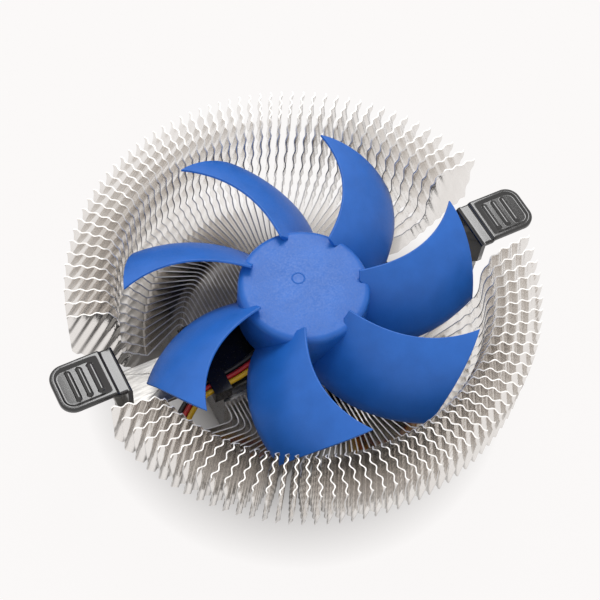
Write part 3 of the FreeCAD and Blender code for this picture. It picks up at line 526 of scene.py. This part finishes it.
def hank_turns(offset):
    """Control points of the folded turns, each turn lying on the one before."""
    radius = HANK_MIDDLE_RADIUS + offset
    wide = radius * HANK_WIDENING
    rear, front = HANK_Y + radius, HANK_Y - radius
    floor = LEAD_ROUTE[-1][2]
    points = []
    for turn in range(HANK_TURNS):
        level = floor + LAYER * turn
        points += [Vector((x, rear, level)) for x in HANK_RUN]
        for i in range(1, 6):
            angle = math.pi / 2 - math.pi * i / 6
            x, y = HANK_RIGHT + wide * math.cos(angle), HANK_Y + wide * math.sin(angle)
            points.append(Vector((x, y, level)))
        points += [Vector((x, front, level + LAYER * FRONT_RISE)) for x in reversed(HANK_RUN)]
        for i in range(1, 6):
            angle = -math.pi / 2 - math.pi * i / 6
            x = HANK_LEFT + wide * HANK_LEFT_SHARE * math.cos(angle)
            y = HANK_Y + wide * math.sin(angle)
            points.append(Vector((x, y, level + LAYER * (FRONT_RISE + 0.1 * i))))
    top = floor + LAYER * HANK_TURNS
    points += [Vector((x, rear, top)) for x in HANK_RUN + PLUG_RUN]
    return points


def make_wire(name, offset, finish):
    route = beside([Vector(p) for p in LEAD_ROUTE], offset * WIRE_PITCH)[:-1]
    points = route + hank_turns(offset * WIRE_PITCH)
    curve = bpy.data.curves.new(name + "_line", "CURVE")
    curve.dimensions = "3D"
    curve.bevel_depth = WIRE_RADIUS * MM
    curve.bevel_resolution = 3
    curve.resolution_u = 6
    curve.use_fill_caps = True
    spline = curve.splines.new("NURBS")
    spline.points.add(len(points) - 1)
    for target, point in zip(spline.points, points):
        target.co = (*(point * MM), 1.0)
    spline.order_u = 3
    spline.use_endpoint_u = True
    wire = link(bpy.data.objects.new(name + "_line", curve))
    curve.materials.append(finish)
    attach(wire, "base")
    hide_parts(name)
    return wire


# Clip hooks

def smooth(value):
    value = min(max(value, 0.0), 1.0)
    return value * value * (3 - 2 * value)


def tab_half(x):
    past = max(x - (TAB_END - TAB_CORNER), 0.0)
    return PLATE_HALF - TAB_CORNER + math.sqrt(max(TAB_CORNER ** 2 - past ** 2, 0.0))


def from_edge(x, y):
    """How far a place on the tab lies inside its outline."""
    past, beyond = x - (TAB_END - TAB_CORNER), abs(y) - (PLATE_HALF - TAB_CORNER)
    if past > 0 and beyond > 0:
        return TAB_CORNER - math.hypot(past, beyond)
    return min(TAB_END - x, PLATE_HALF - abs(y))


def tab_height(x, y):
    """Pressed upper face of the tab: rounded edge, step, tray and three ribs."""
    height = TAB_TOP + STEP_HEIGHT * smooth((x - STEP_X) / STEP_HEIGHT + STEP_LEAD)
    inside = from_edge(x, y)
    if inside < TAB_EDGE:
        height -= TAB_EDGE - math.sqrt(max(TAB_EDGE ** 2 - (TAB_EDGE - inside) ** 2, 0.0))
    wall, run_in = (inside - TRAY_RIM) / TRAY_WALL, (x - TRAY_X) / TRAY_RUN_IN + 0.5
    height -= TRAY_DEPTH * smooth(wall) * smooth(run_in)
    for rib in RIBS:
        away = math.hypot(x - rib, max(abs(y) - RIB_STRAIGHT, 0.0)) / RIB_HALF_WIDTH
        if away < 1:
            height += RIB_HEIGHT * math.sqrt(1 - away ** 2)
    return height


def hook_rows():
    """Places across the hook, closer where the tab's edge, rim and tray wall are."""
    rim = [5.75, 5.72, 5.66, 5.58, 5.47, 5.35, 5.2, 5.05, 4.9, 4.75, 4.6, 4.45, 4.3, 4.1, 3.9]
    rows = rim + [3.78, 3.66, 3.5, 3.3, 3.0, 2.7, 2.2, 1.6, 1.0, 0.5]
    return [-y for y in rows] + [0.0] + rows[::-1]


def hook_sections():
    """Stations from the hook's foot over the bend to the tab's end.

    Each is the inner or upper face's x and z, the other face's x and z, and the half width. On the
    pressed face z is None, because tab_height gives it.
    """
    levels = [PLATE_FOOT, WINDOW[1], 6.3, WINDOW[2], 12.0, *TONGUE_SLOT[1:],
              ARM_SHOULDER - 1, ARM_SHOULDER + 1, 25.0]
    under = TAB_TOP - PLATE_THICKNESS
    outer_x = PLATE_X + PLATE_THICKNESS
    sections = []
    for z in levels:
        half = blend(ARM_HALF, PLATE_HALF, min(max((z - ARM_SHOULDER + 1) / 2, 0.0), 1.0))
        sections.append((PLATE_X, z, outer_x, z, half))
    for i in range(9):
        turn = math.pi / 2 * i / 8
        x, z = PLATE_X + BEND_ROUND * (1 - math.cos(turn)), TAB_TOP - BEND_ROUND * (1 - math.sin(turn))
        sections.append((x, z, outer_x, under, PLATE_HALF))
    x = PLATE_X + BEND_ROUND
    while x < TAB_END - 1e-6:
        x = min(x + (TAB_STEP if TAB_END - x > END_LENGTH else END_STEP), TAB_END)
        low = under + STEP_HEIGHT * smooth((x - STEP_X) / STEP_HEIGHT)
        sections.append((x, None, max(x, outer_x), low, tab_half(x)))
    return sections


def make_hook(side, turn, finish):
    rows, sections = hook_rows(), hook_sections()
    upper, lower, quads = [], [], []
    for x, z, low_x, low, half in sections:
        for row in rows:
            past = abs(row) - SLOT_HALF
            if z is None:
                y = row * half / PLATE_HALF
            elif past > 0:
                y = math.copysign(SLOT_HALF + past * (half - SLOT_HALF) / (PLATE_HALF - SLOT_HALF), row)
            else:
                y = row
            upper.append((x * turn, y * turn, tab_height(x, y) if z is None else z))
            lower.append((low_x * turn, y * turn, low))
    width = len(rows)
    for i in range(len(sections) - 1):
        middle = (sections[i][3] + sections[i + 1][3]) / 2
        for j in range(width - 1):
            reach = max(abs(rows[j]), abs(rows[j + 1]))
            upright = sections[i + 1][1] is not None
            if upright and any(reach <= w and a < middle < b for w, a, b in (WINDOW, TONGUE_SLOT)):
                continue
            a = i * width + j
            quads.append([a, a + 1, a + width + 1, a + width])
    count = len(upper)
    edges = {(a, b) for quad in quads for a, b in zip(quad, quad[1:] + quad[:1])}
    faces = [quad[::-1] for quad in quads] + [[v + count for v in quad] for quad in quads]
    faces += [[a, b, b + count, a + count] for a, b in sorted(edges) if (b, a) not in edges]
    hook = mesh_object(f"pressed_{side}_hook", upper + lower, faces, 50)
    hook.data.materials.append(finish)
    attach(hook, "base")
    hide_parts(side + "_hook_plate")


# CAD nodes that stay

def dress(name, finish, edge):
    """Gives a CAD node its finish and soft edges."""
    piece = nodes[name]
    piece.data.materials.clear()
    piece.data.materials.append(finish)
    weld = piece.modifiers.new("weld", "WELD")
    weld.merge_threshold = 0.00001
    bevel = piece.modifiers.new("soft_edges", "BEVEL")
    bevel.width = edge * MM
    bevel.segments = 2
    bevel.limit_method = "ANGLE"
    bevel.angle_limit = math.radians(35)
    bevel.harden_normals = True


def dress_nodes(finishes):
    plain = {
        "heatsink_core": ("core", 0.3), "fan_frame": ("black", 0.25), "frame_screws": ("plated", 0.15),
        "rotor_yoke": ("plated", 0.1), "magnet_ring": ("magnet", 0.1), "shaft": ("plated", 0.1),
        "bearing_sleeve": ("brass", 0.1), "retaining_washer": ("white", 0.05),
        "stator_core": ("plated", 0.05), "windings": ("copper", 0.3),
        "circuit_board": ("board", 0.05), "board_parts": ("black", 0.08),
        "clip_strap": ("plated", 0.2), "hank_tie": ("white", 0.1), "lead_plug": ("white", 0.2),
    }
    for name, (finish, edge) in plain.items():
        dress(name, finishes[finish], edge)


# Stage

def seen_rays(tree):
    """One for rays that show the background: straight, mirrored or through glass."""
    rays = tree.nodes.new("ShaderNodeLightPath").outputs
    indirect = combine(tree, "MAXIMUM", rays["Is Glossy Ray"], rays["Is Transmission Ray"])
    return combine(tree, "MAXIMUM", rays["Is Camera Ray"], indirect)


def floor_material():
    """Paper that keeps the part's shadow, and shows its own paleness farther out; nearer, its dark base is
    a painted shadow.
    """
    made = bpy.data.materials.new("floor_paper_painted_shadow")
    made.use_nodes = True
    tree = made.node_tree
    shader = tree.nodes["Principled BSDF"]
    shader.inputs["Base Color"].default_value = FLOOR_PAPER_AND_PAINTED_SHADE
    shader.inputs["Roughness"].default_value = 0.9
    shader.inputs["Specular IOR Level"].default_value = 0.1
    place = tree.nodes.new("ShaderNodeTexCoord")
    rays = tree.nodes.new("ShaderNodeLightPath").outputs
    share = None
    for kind, middle, near, far, most in FLOOR_GLOW_AND_PAINTED_SHADOW:
        away = tree.nodes.new("ShaderNodeVectorMath")
        away.operation = "DISTANCE"
        away.inputs[1].default_value = middle
        tree.links.new(place.outputs["Object"], away.inputs[0])
        # Painted shadow: the paleness fades out towards the middle of the shadow.
        fade = node(tree, "ShaderNodeMapRange", From_Min=near, From_Max=far, To_Max=most)
        tree.links.new(away.outputs["Value"], fade.inputs["Value"])
        part = combine(tree, "MULTIPLY", rays[kind], fade.outputs["Result"])
        share = combine(tree, "MAXIMUM", share, part) if share else part
    glow = node(tree, "ShaderNodeEmission", Color=FLOOR_PALE, Strength=1.0)
    mix = tree.nodes.new("ShaderNodeMixShader")
    tree.links.new(share, mix.inputs["Fac"])
    tree.links.new(shader.outputs["BSDF"], mix.inputs[1])
    tree.links.new(glow.outputs["Emission"], mix.inputs[2])
    tree.links.new(mix.outputs["Shader"], tree.nodes["Material Output"].inputs["Surface"])
    return made


def make_stage():
    corners = [(-1, -1), (1, -1), (1, 1), (-1, 1)]
    floor = mesh_object("floor", [(x * FLOOR_HALF, y * FLOOR_HALF, 0) for x, y in corners], [[0, 1, 2, 3]])
    floor.data.materials.append(floor_material())


def make_key():
    data = bpy.data.lights.new("key", "AREA")
    data.shape = "DISK"
    data.size = KEY_SIZE
    data.energy = KEY_POWER
    light = link(bpy.data.objects.new("key", data))
    light.location = KEY_AT
    light.rotation_mode = "QUATERNION"
    light.rotation_quaternion = (KEY_AIM - KEY_AT).to_track_quat("-Z", "Y")


def make_sky():
    world = bpy.data.worlds.new("studio")
    bpy.context.scene.world = world
    world.use_nodes = True
    tree = world.node_tree
    light = tree.nodes["Background"]
    light.inputs["Color"].default_value = SKY_COLOUR
    light.inputs["Strength"].default_value = SKY_STRENGTH
    backdrop = node(tree, "ShaderNodeBackground", Color=BACKDROP, Strength=1.0)
    mix = tree.nodes.new("ShaderNodeMixShader")
    tree.links.new(seen_rays(tree), mix.inputs["Fac"])
    tree.links.new(light.outputs["Background"], mix.inputs[1])
    tree.links.new(backdrop.outputs["Background"], mix.inputs[2])
    tree.links.new(mix.outputs["Shader"], tree.nodes["World Output"].inputs["Surface"])


def main():
    make_camera()
    finishes = make_materials()
    wires = [
        make_wire("black_wire", -1, finishes["wire_black"]),
        make_wire("red_wire", 0, finishes["wire_red"]),
        make_wire("yellow_wire", 1, finishes["wire_yellow"]),
    ]
    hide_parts("lead_hank")
    make_fins("rear", 1, finishes["fins"], finishes["fin_edges"])
    make_fins("front", -1, finishes["fins"], finishes["fin_edges"])
    make_impeller(finishes["blue"])
    make_hook("right", 1, finishes["black_steel"])
    make_hook("left", -1, finishes["black_steel"])
    dress_nodes(finishes)
    make_stage()
    make_sky()
    make_key()
    bpy.context.scene.view_settings.view_transform = "Standard"


main()
